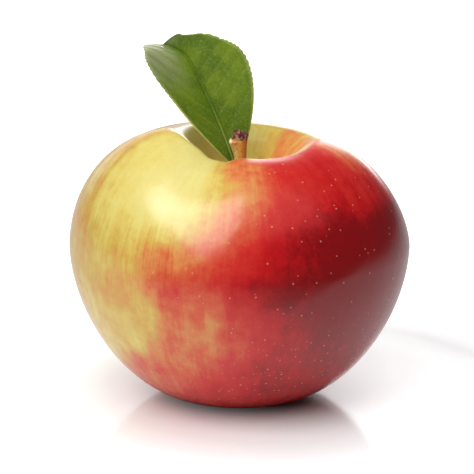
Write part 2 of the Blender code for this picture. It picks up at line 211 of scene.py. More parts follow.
def ripeness(angle, height, inward):
    """0 is green-yellow and 1 the deepest red. Two wandering edges on the left side of the
    sunny cheek each add a part, one on its right side takes both away again. Each edge is
    a smooth step over the turn from it. Inside the cavity the skin stays pale."""
    level = height * 1000
    around = np.degrees(angle)
    around = np.where(around < 150, around + 360, around)
    blush_width = np.interp(level, *BLUSH_EDGE_WIDTH)
    blushed = smooth(-1, 1, (around - edge_of(level, *BLUSH_EDGE)) / blush_width)
    deepened = smooth(-1, 1, (around - edge_of(level, *DEEP_EDGE)) / DEEP_EDGE_WIDTH)
    held = smooth(1, -1, (around - edge_of(level, *FAR_EDGE)) / FAR_EDGE_WIDTH)
    pale_shoulder = swell(angle, np.radians(238), np.radians(40)) * smooth(42, 54, level)
    warm_side = swell(angle, np.radians(197), np.radians(13)) * smooth(28, 44, level)
    ground = (GROUND_RIPENESS - 0.27 * pale_shoulder - 0.04 * smooth(34, 22, level)
              + 0.08 * warm_side)
    first = np.interp(level, *BLUSH_RIPENESS)
    # Deeper red on the right side below the shoulder: partly riper skin and partly painted shade on
    # the side turned from the key light.
    dark_side = (smooth(264, 308, around) * smooth(54, 44, level)
                 * mix(0.55, 1.0, smooth(4, 30, level)))
    ripest = np.interp(level, *DEEP_RIPENESS) + 0.14 * dark_side
    ripe = ground + held * (first * blushed + (ripest - first) * deepened)
    ripe = np.maximum(ripe, ground + FOOT_RIPENESS * smooth(13, 4, level))
    wall = np.interp(np.degrees(np.abs(turn_from(angle, CAVITY_RIPEST_ANGLE))),
                     *CAVITY_RIPENESS)
    return mix(ripe, wall, smooth(-0.02, 0.10, inward))


def edge_of(level, levels, degrees):
    """Where an edge of the blush lies at each height, in degrees: straight lines between
    the given places, averaged under a bell curve so that no corner shows."""
    places = np.linspace(0, 70, 141)
    joined = np.interp(places, levels, degrees)
    bell = np.exp(-(np.arange(-10, 11) / 4.0) ** 2)
    padded = np.concatenate((np.full(10, joined[0]), joined, np.full(10, joined[-1])))
    return np.interp(level, places, np.convolve(padded, bell / bell.sum(), "valid"))


def paint(red, green, blue):
    """A colour given in screen values from 0 to 255, as linear light."""
    values = np.array((red, green, blue)) / 255
    linear = np.where(values <= 0.04045, values / 12.92, ((values + 0.055) / 1.055) ** 2.4)
    return (*linear.tolist(), 1.0)


def new_material(name):
    """A material with its node tree and its shader."""
    material = bpy.data.materials.new(name)
    material.use_nodes = True
    return material, material.node_tree, material.node_tree.nodes["Principled BSDF"]


def add_node(tree, kind, settings=None, **inputs):
    """A shader node with its settings and its inputs, which are values or other sockets."""
    made = tree.nodes.new(kind)
    for name, value in (settings or {}).items():
        setattr(made, name, value)
    for name, value in inputs.items():
        socket = made.inputs[int(name[1:])] if name[1:].isdigit() else made.inputs[
            name.replace("_", " ")]
        if isinstance(value, bpy.types.NodeSocket):
            tree.links.new(value, socket)
        else:
            socket.default_value = value
    return made


def calculate(tree, operation, first, second=0.0, clamp=False):
    """One step of arithmetic on two values."""
    return add_node(tree, "ShaderNodeMath", {"operation": operation, "use_clamp": clamp},
                    _0=first, _1=second).outputs[0]


def blend_colours(tree, share, first, second):
    """The first colour where the share is 0 and the second where it is 1."""
    made = add_node(tree, "ShaderNodeMix", {"data_type": "RGBA"})
    for socket, value in ((made.inputs[0], share), (made.inputs[6], first),
                          (made.inputs[7], second)):
        if isinstance(value, bpy.types.NodeSocket):
            tree.links.new(value, socket)
        else:
            socket.default_value = value
    return made.outputs[2]


def remap(tree, value, from_low, from_high, to_low=0.0, to_high=1.0):
    """A smooth step between two values."""
    return add_node(tree, "ShaderNodeMapRange", {"interpolation_type": "SMOOTHSTEP"},
                    Value=value, From_Min=from_low, From_Max=from_high, To_Min=to_low,
                    To_Max=to_high).outputs[0]


def noise(tree, vector, scale, detail=2.0, stretch=(1, 1, 1)):
    """Cloudy noise, finer along an axis with more stretch."""
    placed = add_node(tree, "ShaderNodeMapping", Vector=vector, Scale=stretch).outputs[0]
    return add_node(tree, "ShaderNodeTexNoise", Vector=placed, Scale=scale,
                    Detail=detail).outputs[0]


def colour_ramp(tree, value, stops):
    """Colours at their places from 0 to 1, blended between."""
    made = add_node(tree, "ShaderNodeValToRGB", Fac=value)
    elements = made.color_ramp.elements
    while len(elements) < len(stops):
        elements.new(0.5)
    for element, (place, colour) in zip(elements, stops):
        element.position = place
        element.color = colour
    return made.outputs[0]


def skin_material():
    """Ground colour under a red blush that is laid in faint streaks from stem to calyx,
    with pale breathing dots, over a waxy gloss."""
    material, tree, shader = new_material("apple_skin")
    here = add_node(tree, "ShaderNodeTexCoord").outputs["Object"]
    meridian = add_node(tree, "ShaderNodeAttribute", {"attribute_name": "meridian"}).outputs[1]
    ripe, streaky, green, inside = (
        add_node(tree, "ShaderNodeAttribute", {"attribute_name": name}).outputs[2]
        for name in ("ripeness", "streaky", "green", "inside"))
    level = add_node(tree, "ShaderNodeSeparateXYZ", Vector=here).outputs[2]

    def centred(value, amount):
        return calculate(tree, "MULTIPLY", calculate(tree, "SUBTRACT", value, 0.5), amount)

    wide_streaks = noise(tree, meridian, 13.0, 3.0, (1, 1, 0.45))
    fine_streaks = noise(tree, meridian, 70.0, 4.0, (1, 1, 0.32))
    clouds = noise(tree, here, 95.0, 4.0)
    mottle = noise(tree, here, 360.0, 3.0)
    grain = noise(tree, here, 1300.0, 2.0)
    unripe = calculate(tree, "SUBTRACT", 1.0, ripe, True)
    on_edge = calculate(tree, "MULTIPLY", calculate(tree, "MULTIPLY", ripe, unripe), 4.0, True)
    shift = calculate(tree, "ADD", centred(wide_streaks, 0.24), centred(clouds, 0.40))
    shift = calculate(tree, "ADD", shift, centred(mottle, 0.24))
    shift = calculate(tree, "ADD", shift, calculate(
        tree, "MULTIPLY", centred(fine_streaks, 1.0), calculate(tree, "ADD", 0.08, streaky)))
    shift = calculate(tree, "MULTIPLY", shift, calculate(tree, "ADD", 0.30, on_edge))
    shift = calculate(tree, "ADD", shift, centred(grain, 0.10))
    ripe = calculate(tree, "ADD", ripe, shift, True)
    colour = colour_ramp(tree, ripe, [(place, paint(*tone)) for place, tone in SKIN_COLOURS])
    colour = blend_colours(tree, green, colour, paint(*GREEN_SKIN))

    dots = add_node(tree, "ShaderNodeTexVoronoi", Vector=here, Scale=DOTS_PER_METRE)
    dots = remap(tree, dots.outputs["Distance"], 0.13, 0.05)
    low_dots = add_node(tree, "ShaderNodeTexVoronoi", Vector=here, Scale=LOW_DOTS_PER_METRE)
    low_dots = remap(tree, low_dots.outputs["Distance"], 0.15, 0.05)
    low_dots = calculate(tree, "MULTIPLY", low_dots, remap(tree, level, 0.034, 0.012))
    dots = calculate(tree, "MAXIMUM", dots, low_dots)
    shown = calculate(tree, "MULTIPLY", dots, remap(tree, ripe, 0.30, 0.75, 0.20, 0.44))
    colour = blend_colours(tree, shown, colour, paint(*DOT_COLOUR))
    tree.links.new(colour, shader.inputs["Base Color"])

    rough = calculate(tree, "ADD", 0.19, calculate(tree, "MULTIPLY", clouds, 0.10))
    rough = calculate(tree, "ADD", rough, calculate(tree, "MULTIPLY", inside, 0.25))
    tree.links.new(rough, shader.inputs["Roughness"])
    wax = calculate(tree, "SUBTRACT", 1.0, calculate(tree, "MULTIPLY", inside, 0.72))
    tree.links.new(wax, shader.inputs["Coat Weight"])
    shader.inputs["Coat Roughness"].default_value = WAX_ROUGHNESS
    shader.inputs["Specular IOR Level"].default_value = 0.0
    relief = calculate(tree, "ADD", calculate(tree, "MULTIPLY", dots, 0.5),
                       calculate(tree, "MULTIPLY", noise(tree, here, 700.0, 2.0), 0.6))
    bump = add_node(tree, "ShaderNodeBump", Strength=0.08, Distance=0.0003, Height=relief)
    tree.links.new(bump.outputs[0], shader.inputs["Normal"])
    return material


fruit_radius, fruit_angle, fruit_height = fruit_skin()
fruit_mesh = ring_mesh("apple_fruit", np.stack(
    (fruit_radius * np.cos(fruit_angle), fruit_radius * np.sin(fruit_angle), fruit_height), -1))
skin_row = np.arange(fruit_radius.shape[0])[:, None] + 0 * fruit_radius
inward = (skin_row - sum(FRUIT_ROWS[:4])) / FRUIT_ROWS[4]
note(fruit_mesh, "ripeness", ripeness(fruit_angle, fruit_height, inward))
note(fruit_mesh, "inside", smooth(0.04, 0.30, inward))
note(fruit_mesh, "streaky", 0.24 * swell(fruit_angle, np.radians(229), np.radians(17))
     * np.exp(-((fruit_height - 0.043) / 0.010) ** 2)
     + 0.12 * swell(fruit_angle, np.radians(207), np.radians(9))
     * np.exp(-((fruit_height - 0.051) / 0.008) ** 2))
note(fruit_mesh, "green", 0.26 * swell(fruit_angle, np.radians(204), np.radians(20))
     * np.exp(-((fruit_height - 0.041) / 0.008) ** 2))
note_vector(fruit_mesh, "meridian", np.stack(
    (np.cos(fruit_angle), np.sin(fruit_angle), skin_row / fruit_radius.shape[0]), -1))
add_piece("apple_fruit", fruit_mesh, skin_material(), "skin", "fruit")

# ---------------------------------------------------------------------------
# Stem. A woody stalk that grew out of the floor of the cavity, yellow-green low down and
# orange-brown above. Its top flares into the dark, crumbled scar where it broke off.
STEM_X = 0.0004
STEM_FOOT_HEIGHT = CAVITY_FLOOR - 0.0028
STEM_LENGTH = 0.0212
STEM_AXIS_SHIFT = -0.00020
# Radius in millimetres on the right and on the left, at these shares of the length
STEM_SHARES = (0.0, 0.2, 0.50, 0.665, 0.74, 0.80, 0.85, 0.885, 0.905, 0.925, 0.965, 0.985, 1.0)
STEM_RIGHT = (1.35, 1.33, 1.28, 1.33, 1.36, 1.40, 1.44, 1.50, 1.58, 1.66, 1.62, 1.30, 0.40)
STEM_LEFT = (1.35, 1.33, 1.28, 1.36, 1.70, 2.12, 2.56, 2.80, 2.30, 1.75, 1.60, 1.20, 0.30)
STEM_ROWS = 130
STEM_COLUMNS = 80
# Heights and distances to the right of the axis at which the bark changes colour
PALE_BARK_ENDS = (0.0612, 0.0585)
PALE_BARK_SIDE = (0.0009, -0.0006)
DARK_BARK_SIDE = (0.0012, 0.0022)
LIT_RIM_STARTS = (0.0610, 0.0614)
SCAR_STARTS = (0.0621, 0.0625)


def stem_rings():
    """A tube along a straight line. Two smooth profiles give the radius on its right and
    on its left side, and a raised cosine blends them around it; the left one flares. The
    end above the flare is a lumpy knob, and long flutes run along the whole stem."""
    share = np.linspace(0, 1, STEM_ROWS)[:, None]
    angle = np.linspace(0, 2 * np.pi, STEM_COLUMNS, endpoint=False)[None, :]
    rows = np.linspace(0, 1, 261)
    bell = np.exp(-(np.arange(-6, 7) / 2.4) ** 2)
    bell = bell / bell.sum()

    def profile(radii):
        even = np.pad(np.interp(rows, STEM_SHARES, radii), 6, mode="edge")
        return np.interp(share, rows, np.convolve(even, bell, "valid")) / 1000

    leftward = ((1 - np.cos(angle)) / 2) ** 1.6
    radius = mix(profile(STEM_RIGHT), profile(STEM_LEFT), leftward)
    knob = smooth(0.87, 0.95, share)
    flutes = (0.030 * np.sin(5 * angle + 2 * share) + 0.026 * np.sin(9 * angle - 5 * share)
              + 0.012 * np.sin(23 * angle + 3 * np.sin(9 * share)))
    lumps = knob * (0.10 * np.sin(3 * angle + 1.0) + 0.09 * np.sin(7 * angle + 19 * share)
                    + 0.07 * np.sin(13 * angle - 41 * share))
    radius = radius * (1 + flutes + lumps)
    height = STEM_FOOT_HEIGHT + STEM_LENGTH * share
    ragged = (0.00034 * np.sin(3 * angle + 0.7) + 0.00026 * np.sin(7 * angle + 2.0)) * knob
    height = height + ragged * radius / 0.002 - 0.00025 * knob * np.cos(angle)
    centre = STEM_X + STEM_AXIS_SHIFT * smooth(0.1, 0.6, share)
    return np.stack((centre + radius * np.cos(angle), radius * np.sin(angle), height), -1)


def stem_material():
    """Orange bark with fibres along it and speckles, pale low down on its left, under a
    pale rim painted as a highlight on its left side and a crumbled dark scar."""
    material, tree, shader = new_material("stem_bark")
    here = add_node(tree, "ShaderNodeTexCoord").outputs["Object"]
    split = add_node(tree, "ShaderNodeSeparateXYZ", Vector=here)
    level = split.outputs[2]
    fibres = noise(tree, here, 1000.0, 4.0, (1, 1, 0.20))
    patches = noise(tree, here, 500.0, 3.0)
    side = calculate(tree, "ADD", split.outputs[0], calculate(tree, "MULTIPLY", patches, 0.0014))
    pale = calculate(tree, "MULTIPLY", remap(tree, side, *PALE_BARK_SIDE),
                     remap(tree, level, *PALE_BARK_ENDS, 0.15, 1.0))
    colour = blend_colours(tree, pale, paint(212, 144, 74), paint(226, 210, 140))
    dark_side = remap(tree, side, *DARK_BARK_SIDE)
    colour = blend_colours(tree, dark_side, colour, paint(188, 108, 58))
    speckles = noise(tree, here, 2300.0, 2.0)
    colour = blend_colours(tree, remap(tree, speckles, 0.48, 0.66, 0.0, 0.55), colour,
                           paint(152, 86, 44))
    colour = blend_colours(tree, remap(tree, fibres, 0.52, 0.80, 0.0, 0.5), colour,
                           paint(150, 84, 40))
    collar = calculate(tree, "ADD", level, calculate(tree, "MULTIPLY", patches, 0.0010))
    # Painted highlight on the left of the upper rim, where the key light catches it.
    lit_rim = calculate(tree, "MULTIPLY", remap(tree, collar, *LIT_RIM_STARTS),
                        remap(tree, side, -0.0010, -0.0016))
    colour = blend_colours(tree, lit_rim, colour, paint(238, 220, 178))
    scar = remap(tree, collar, *SCAR_STARTS)
    crumbs = blend_colours(tree, remap(tree, noise(tree, here, 1100.0, 3.0), 0.46, 0.64),
                           paint(78, 34, 30), paint(160, 104, 88))
    colour = blend_colours(tree, scar, colour, crumbs)
    tree.links.new(colour, shader.inputs["Base Color"])
    shader.inputs["Roughness"].default_value = 0.62
    relief = calculate(tree, "ADD", fibres, calculate(tree, "MULTIPLY", patches, 0.8))
    bump = add_node(tree, "ShaderNodeBump", Strength=0.5, Distance=0.0003, Height=relief)
    tree.links.new(bump.outputs[0], shader.inputs["Normal"])
    return material


add_piece("apple_stem", ring_mesh("apple_stem", stem_rings()), stem_material(), "stem_bark", "stem")

# ---------------------------------------------------------------------------
# Leaf. One glossy green leaf, its petiole wedged beside the stem. Both halves fold up
# from the sunken midrib, the margin is finely scalloped and the tip is notched.
PETIOLE_FOOT = np.array((0.0000, 0.0046, 0.0462))
BLADE_BASE = np.array((-0.00123, 0.00360, 0.05455))
BLADE_BASE_HANDLE = np.array((-0.00390, 0.00460, 0.06335))
KNEE_LOWER_HANDLE = np.array((-0.00845, 0.00560, 0.07285))
KNEE = np.array((-0.01176, 0.00650, 0.07910))
KNEE_UPPER_HANDLE = np.array((-0.01295, 0.00700, 0.08130))
TIP_HANDLE = np.array((-0.01531, 0.00760, 0.08213))
TIP = np.array((-0.01804, 0.00820, 0.08282))
LEAF_FACING = np.array((0.0, -0.98, 0.20))
PETIOLE_RADIUS = 0.00070
BLADE_HALF_WIDTH = 0.0125
BLADE_THICKNESS = 0.00042
MIDRIB_RISE = 0.00045
MIDRIB_SPREAD = 0.00080
LEAF_FOLLOW = 0.15
# For the right and the left half: where it is widest, bluntness, fold and sweep
RIGHT_HALF = (0.54, 0.62, math.radians(13), math.radians(14))
LEFT_HALF = (0.64, 0.49, math.radians(38), math.radians(31))
RIGHT_TIP_BLUNTNESS = 0.34
RIGHT_TIP_DRAWN_IN = 0.06
KNEE_SHARE = 0.8
SCALLOPS = 27
SCALLOP_DEPTH = 0.00024
SIDE_VEINS = 8
RIGHT_VEIN_SLANT = 0.16
LEFT_VEIN_SLANT = 0.27
QUILT_DEPTH = 0.00026
LEAF_WAVE = 0.0007
RIB_WIDTH = 0.00024
RIB_WIDTH_AT_TIP = 0.00012
LEAF_ROWS = (24, 190, 50)
HALF_LEAF_COLUMNS = 60


def cubic(first, first_handle, last_handle, last, share):
    """A cubic Bezier curve: the four points weighted by the Bernstein polynomials."""
    share = share[:, None]
    rest = 1 - share
    return (rest ** 3 * first + 3 * rest ** 2 * share * first_handle
            + 3 * rest * share ** 2 * last_handle + share ** 3 * last)


def unit(vectors):
    """Each vector divided by its length."""
    return vectors / np.linalg.norm(vectors, axis=-1, keepdims=True)


def leaf_midrib():
    """Three Bezier curves end to end: petiole, lower blade and the hooked tip. Gives the
    points, their directions and the share of the blade's length at each."""
    foot_rows, lower_rows, upper_rows = LEAF_ROWS
    rise = BLADE_BASE[2] - PETIOLE_FOOT[2]
    foot_handle = PETIOLE_FOOT + np.array((0, 0, rise / 2))
    base_handle = BLADE_BASE - unit(BLADE_BASE_HANDLE - BLADE_BASE) * rise / 3
    foot = np.linspace(0, 1, foot_rows, endpoint=False)
    lower = np.linspace(0, 1, lower_rows, endpoint=False)
    upper = 1 - (1 - np.linspace(0, 1, upper_rows)) ** 1.5
    points = np.concatenate((
        cubic(PETIOLE_FOOT, foot_handle, base_handle, BLADE_BASE, foot),
        cubic(BLADE_BASE, BLADE_BASE_HANDLE, KNEE_LOWER_HANDLE, KNEE, lower),
        cubic(KNEE, KNEE_UPPER_HANDLE, TIP_HANDLE, TIP, upper)))
    share = np.concatenate((0 * foot, KNEE_SHARE * lower, mix(KNEE_SHARE, 1, upper)))
    blade = np.concatenate((smooth(0.5, 1, foot), 1 + 0 * lower, 1 + 0 * upper))
    return points, unit(np.gradient(points, axis=0)), share[:, None], blade[:, None]


def leaf_rings():
    """For each station of the midrib, a loop over the upper face from the left margin to
    the right one and back along the lower face. Each half leaves the midrib at its fold
    and sweep, as wide as a power of a skewed sine, less the scallops. The face is
    quilted: it sinks at each side vein and swells between two."""
    point, direction, share, blade = leaf_midrib()
    axis = unit(KNEE - BLADE_BASE)
    along = unit(mix(mix(direction, axis, 1 - LEAF_FOLLOW), direction, 1 - blade))
    facing = unit(LEAF_FACING)
    up = unit(facing - along * (along @ facing)[:, None])
    right = unit(np.cross(along, up))
    step = np.linspace(-1, 1, 2 * HALF_LEAF_COLUMNS + 1)[None, :]
    side = np.where(step >= 0, 1.0, -1.0)
    reach = np.abs(step)
    widest, bluntness, fold, sweep = (
        np.where(side > 0, *values) for values in zip(RIGHT_HALF, LEFT_HALF))
    skew = np.log(0.5) / np.log(widest)
    tip_bluntness = np.where(side > 0, RIGHT_TIP_BLUNTNESS, bluntness)
    bluntness = mix(bluntness, tip_bluntness, smooth(0.93, 1.0, share))
    drawn_in = 1 - RIGHT_TIP_DRAWN_IN * smooth(0.6, 0.85, share) * np.where(side > 0, 1, 0)
    skewed = np.sin(np.pi * np.clip(share, 0, 1) ** skew)
    width = BLADE_HALF_WIDTH * drawn_in * skewed ** bluntness
    width = np.maximum(width, PETIOLE_RADIUS * (1 - 0.6 * share))
    across = mix(np.sin(reach * np.pi / 2), (1 - np.cos(reach * np.pi)) / 2, blade)
    tooth = np.abs(np.sin(np.pi * SCALLOPS * share + 0.8 * side + np.sin(17 * share)))
    notch = SCALLOP_DEPTH * (1 - tooth) * smooth(0.25, 0.45, share) * smooth(1, 0.97, share)
    width = width - notch * across ** 8
    far = width * across
    slant = np.where(side > 0, RIGHT_VEIN_SLANT, LEFT_VEIN_SLANT)
    reached = far / BLADE_HALF_WIDTH
    vein = SIDE_VEINS * (share - slant * reached * (1 + 0.25 * reached)) + 0.5 * (side > 0)
    vein = vein + 0.22 * np.sin(7.3 * share + 2.0 * side)
    quilt = np.abs(np.sin(np.pi * vein)) ** 0.7
    spread = smooth(0, 0.25, across) * smooth(1.0, 0.75, across) * smooth(0.05, 0.2, share) * blade
    crisp = np.where(side > 0, 0.55, 1.0)
    lift = QUILT_DEPTH * (quilt - 0.6) * spread * crisp
    wave = np.sin(5.5 * share + 1.4 * side) * smooth(0.1, 0.4, share)
    lift = lift + LEAF_WAVE * across ** 2 * wave
    lift = lift - 0.00012 * np.exp(-(far / 0.0006) ** 2) * blade
    turn = fold * blade
    sweep_way = far * np.tan(sweep) * blade

    def at(vectors, amounts):
        return vectors[:, None, :] * (amounts + 0 * far)[:, :, None]

    normal = at(up, np.cos(turn)) - at(right, side * np.sin(turn) * np.minimum(reach * 8, 1))
    normal = unit(normal)
    middle = (point[:, None, :] + at(right, side * far * np.cos(turn)) + at(up, far * np.sin(turn))
              + at(along, sweep_way) + normal * lift[:, :, None])
    round_half = PETIOLE_RADIUS * np.sqrt(np.maximum(1 - across ** 2, 0))
    edge = np.sqrt(np.maximum(1 - across ** 10, 0))
    rib = (MIDRIB_RISE * (1 - 0.7 * share) * np.exp(-(far / MIDRIB_SPREAD) ** 2)
           + 0.00008 * (1 - quilt) * spread)
    above = mix(round_half, BLADE_THICKNESS / 2 * edge, blade)
    below = mix(round_half, BLADE_THICKNESS / 2 * edge + rib, blade)
    upper = middle + normal * above[:, :, None]
    lower = middle - normal * below[:, :, None]
    rings = np.concatenate((upper, lower[:, -2:0:-1]), axis=1)

    def around(values):
        values = values + 0 * far
        return np.concatenate((values, values[:, -2:0:-1]), axis=1)

    rib_width = mix(RIB_WIDTH, RIB_WIDTH_AT_TIP, share)
    # Painted shade: dark lines along both sides of the midrib, where the blade dips beside it.
    flank = np.exp(-((far - 2.1 * rib_width) / (0.9 * rib_width)) ** 2)
    left = np.where(side < 0, 1.0, 0.0)
    # Painted sheen: a grey reflection painted on the upper left half and at the tip, stronger on
    # the swellings between the veins.
    painted_sheen = smooth(0.45, 0.95, share + 0.10 * across) * smooth(0.05, 0.55, across) * left
    painted_sheen = painted_sheen + 0.5 * smooth(0.93, 1.0, share)
    marks = {
        "midrib": around(np.exp(-(far / rib_width) ** 2) * (1 - 0.90 * smooth(0.15, 0.6, share))),
        "painted_groove_shade": around(flank * blade * mix(0.5, 1.0, smooth(0.2, 0.7, share))),
        "vein": around((1 - quilt) ** 3 * spread * np.exp(-across * 1.2)),
        "painted_sheen": around(painted_sheen * (0.55 + 0.45 * quilt)),
        # Pale margin all round, lightened low on the left half by a painted highlight where the
        # edge catches the light.
        "rim": around(smooth(0.90, 0.985, across) * (0.25 + 0.75 * left * smooth(0.55, 0.3, share))
                      * blade),
        "share": around(share),
    }
    return rings, marks


def leaf_material():
    """Green cuticle with fine cells, yellower specks, a pale midrib between two grooves
    darkened with painted shade, pale veins, a painted grey sheen towards the tip and on
    the left half, and a yellow margin that a painted highlight lightens low on the left half."""
    material, tree, shader = new_material("leaf_green")
    here = add_node(tree, "ShaderNodeTexCoord").outputs["Object"]
    midrib, painted_groove_shade, vein, painted_sheen, rim, share = (
        add_node(tree, "ShaderNodeAttribute", {"attribute_name": name}).outputs[2]
        for name in ("midrib", "painted_groove_shade", "vein", "painted_sheen", "rim", "share"))
    clouds = noise(tree, here, 170.0, 3.0)
    cells = add_node(tree, "ShaderNodeTexVoronoi", {"feature": "DISTANCE_TO_EDGE"}, Vector=here,
                     Scale=1500.0).outputs["Distance"]
    grain = noise(tree, here, 1700.0, 2.0)
    colour = blend_colours(tree, remap(tree, share, 0.0, 0.45), paint(80, 106, 32),
                           paint(104, 128, 22))
    colour = blend_colours(tree, remap(tree, clouds, 0.36, 0.66), colour, paint(80, 108, 20))
    colour = blend_colours(tree, remap(tree, grain, 0.46, 0.74, 0.0, 0.34), colour,
                           paint(140, 156, 56))
    # The painted grey sheen, laid into the colour.
    colour = blend_colours(tree, calculate(tree, "MULTIPLY", painted_sheen, 0.76, True), colour,
                           paint(166, 168, 132))
    colour = blend_colours(tree, calculate(tree, "MULTIPLY", vein, 0.20), colour,
                           paint(148, 166, 92))
    # The painted shade beside the midrib.
    colour = blend_colours(tree, calculate(tree, "MULTIPLY", painted_groove_shade, 0.55), colour,
                           paint(44, 66, 14))
    colour = blend_colours(tree, calculate(tree, "MULTIPLY", midrib, 0.72), colour,
                           paint(150, 172, 92))
    # The pale margin with its painted highlight.
    colour = blend_colours(tree, rim, colour, paint(204, 204, 122))
    tree.links.new(colour, shader.inputs["Base Color"])
    rough = calculate(tree, "ADD", 0.34, calculate(tree, "MULTIPLY", grain, 0.16))
    tree.links.new(rough, shader.inputs["Roughness"])
    relief = calculate(tree, "ADD", calculate(tree, "MULTIPLY", remap(tree, cells, 0.0, 0.2), 0.5),
                       calculate(tree, "MULTIPLY", noise(tree, here, 600.0, 3.0), 0.8))
    bump = add_node(tree, "ShaderNodeBump", Strength=0.3, Distance=0.0002, Height=relief)
    tree.links.new(bump.outputs[0], shader.inputs["Normal"])
    shader.inputs["Specular IOR Level"].default_value = 0.35
    return material


leaf_loops, leaf_marks = leaf_rings()
leaf_mesh = ring_mesh("apple_leaf", leaf_loops)
for mark, values in leaf_marks.items():
    note(leaf_mesh, mark, values)
add_piece("apple_leaf", leaf_mesh, leaf_material(), "leaf_green", "leaf")

# ---------------------------------------------------------------------------
# Calyx. Five dried flower lobes and a tuft of stamens, left in the eye of the basin
# underneath. They are brown, curled and papery.
SEPALS = 5
SEPAL_HALF_WIDTH = 0.00105
SEPAL_LENGTH = 0.0046
SEPAL_REACH = 0.0044
SEPAL_CURL = 3.5
SEPAL_THICKNESS = 0.00050
SEPAL_GAP = 0.0003
SEPAL_RING_RADIUS = (SEPAL_HALF_WIDTH / math.tan(math.pi / SEPALS)
                     + SEPAL_GAP / math.sin(math.pi / SEPALS))
EYE_ROOF = 0.0078
STAMENS = 9
STAMEN_LENGTH = 0.0024
SEAT_DEPTH = 0.0008


def sepal_rings(turn, phase):
    """A strip that runs down out of the eye and curls outwards with a power of its
    length. Its section is a flat ellipse, cupped and wrinkled."""
    share = np.linspace(0, 1, 40)[:, None]
    angle = np.linspace(0, 2 * np.pi, 48, endpoint=False)[None, :]
    out = mix(SEPAL_RING_RADIUS, SEPAL_REACH, share ** SEPAL_CURL)
    down = EYE_ROOF - SEPAL_LENGTH * (share - 0.12 * share ** 3)
    slope_out = (SEPAL_REACH - SEPAL_RING_RADIUS) * SEPAL_CURL * share ** (SEPAL_CURL - 1)
    slope_down = -SEPAL_LENGTH * (1 - 0.36 * share ** 2)
    length = np.hypot(slope_out, slope_down)
    width = SEPAL_HALF_WIDTH * (0.55 + 1.1 * share - 1.45 * share ** 3) + 0.0001
    width = width * (1 + 0.05 * np.sin(25 * share + phase))
    thick = SEPAL_THICKNESS / 2 * (1 - 0.55 * share) * (
        1 + 0.25 * np.sin(6 * angle + 3 * share + phase) * share)
    raised = thick * np.sin(angle) + 0.0002 * np.cos(angle) ** 2
    away = out + raised * slope_down / length
    height = down - raised * slope_out / length
    sideways = width * np.cos(angle)
    return np.stack((away * np.cos(turn) - sideways * np.sin(turn),
                     away * np.sin(turn) + sideways * np.cos(turn), height + 0 * away), -1)[::-1]


def thread_rings(turn):
    """A thin curved thread from the seat of the tuft, with a swollen end."""
    share = np.linspace(0, 1, 14)[:, None]
    angle = np.linspace(0, 2 * np.pi, 8, endpoint=False)[None, :]
    radius = 0.00014 * (1 - 0.4 * share) + 0.00010 * smooth(0.86, 0.94, share)
    out = 0.00055 + 0.0006 * share ** 1.5 + radius * np.cos(angle)
    aside = 0.0002 * np.sin(4 * share + 3 * turn) + radius * np.sin(angle)
    height = EYE_ROOF - SEAT_DEPTH / 2 - STAMEN_LENGTH * share + 0 * aside
    return np.stack((out * np.cos(turn) - aside * np.sin(turn),
                     out * np.sin(turn) + aside * np.cos(turn), height), -1)[::-1]


def dried_material():
    """Dull brown fibres, dark in the folds."""
    material, tree, shader = new_material("dried_calyx")
    here = add_node(tree, "ShaderNodeTexCoord").outputs["Object"]
    fibres = noise(tree, here, 2200.0, 4.0)
    colour = colour_ramp(tree, fibres, (
        (0.25, paint(52, 34, 20)), (0.55, paint(112, 82, 50)), (0.8, paint(164, 136, 96))))
    tree.links.new(colour, shader.inputs["Base Color"])
    shader.inputs["Roughness"].default_value = 0.85
    bump = add_node(tree, "ShaderNodeBump", Strength=0.6, Distance=0.0002, Height=fibres)
    tree.links.new(bump.outputs[0], shader.inputs["Normal"])
    return material


def stamen_mesh():
    """Nine threads and the round seat that they grow from, in one mesh."""
    share = np.array((0.0, 0.0, 0.5, 1.0, 1.0))[:, None]
    angle = np.linspace(0, 2 * np.pi, 24, endpoint=False)[None, :]
    radius = np.array((0.0004, 0.00085, 0.0009, 0.00075, 0.0003))[:, None] * (
        1 + 0.06 * np.sin(5 * angle))
    seat = np.stack((radius * np.cos(angle), radius * np.sin(angle),
                     EYE_ROOF - SEAT_DEPTH * share + 0 * radius), -1)[::-1]
    joined = bmesh.new()
    for turn in [2 * math.pi * i / STAMENS for i in range(STAMENS)]:
        joined.from_mesh(ring_mesh("stamen", thread_rings(turn)))
    joined.from_mesh(ring_mesh("stamen_seat", seat))
    mesh = bpy.data.meshes.new("apple_stamens")
    joined.to_mesh(mesh)
    joined.free()
    mesh.shade_smooth()
    return mesh


dried = dried_material()
add_piece("apple_stamens", stamen_mesh(), dried, "dried_calyx", "stamens")
for i in range(SEPALS):
    sepal_turn = 2 * math.pi * (i + 0.3) / SEPALS
    sepal = ring_mesh(f"apple_sepal_{i + 1}", sepal_rings(sepal_turn, 1.7 * i))
    add_piece(f"apple_sepal_{i + 1}", sepal, dried, "dried_calyx", f"sepal_{i + 1}")

# ---------------------------------------------------------------------------
# Studio. A white acrylic table that glows with painted light and mirrors the fruit close to
# its foot, and a bright backdrop. A broad glowing panel overhead on the left, two soft boxes
# and a narrow spot light it, and a black flag lies in what the cheek reflects in front.
VIEW_ELEVATION = math.radians(14.5)
VIEW_DISTANCE = 0.90
VIEW_WIDTH = 0.1122
VIEW_TARGET = Vector((-0.0006, 0.0, 0.0380))
TABLE_HALF = 3.0
TABLE_GREY = 0.80
# How far to the right the middle of the painted soft shadow lies.
SHADOW_SHIFT = 0.009
